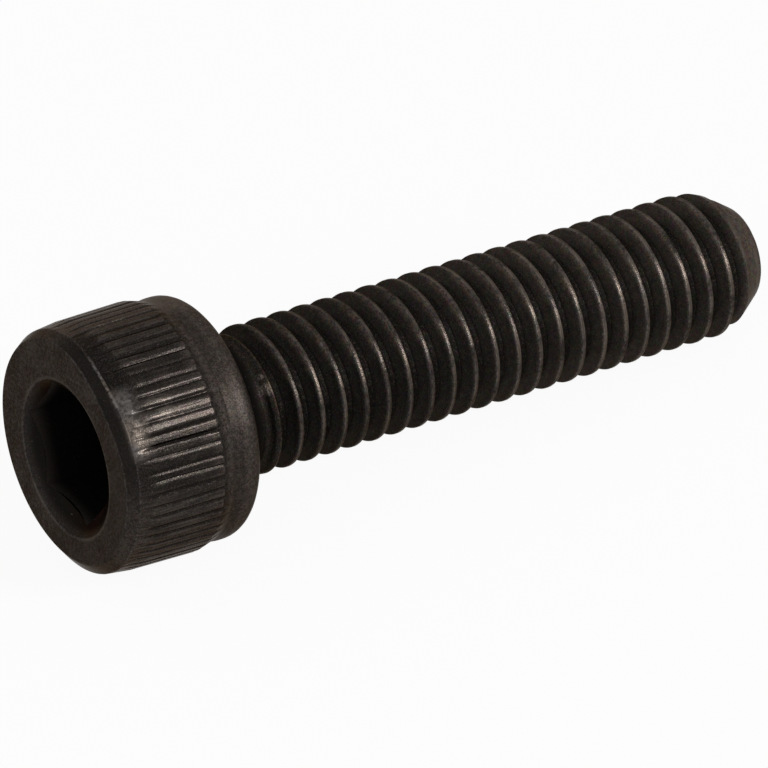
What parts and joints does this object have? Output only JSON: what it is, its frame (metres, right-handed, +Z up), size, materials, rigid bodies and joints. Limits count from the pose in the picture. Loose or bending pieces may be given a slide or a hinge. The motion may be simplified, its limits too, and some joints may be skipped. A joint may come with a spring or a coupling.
{
  "type": "hex socket cap screw",
  "caption": "Black hex socket cap screw: round knurled head with a plain rim and countersunk hex socket, fully threaded shank with a tapered tip, lying on its side.",
  "frame": {"origin": "on the surface the screw lies on, under the middle of its bounding box", "axes": "+X from the head to the tip, which dips by 4.74 degrees because the screw rests on its knurled head and its last full thread; +Z up"},
  "size_m": [0.0314, 0.01, 0.0101],
  "materials": {
    "black_oxide_steel": "black oxide on steel, lightly oiled, rubbed bright on some crests"
  },
  "bodies": {
    "root": {"cap_screw": "black_oxide_steel"}
  },
  "joints": []
}
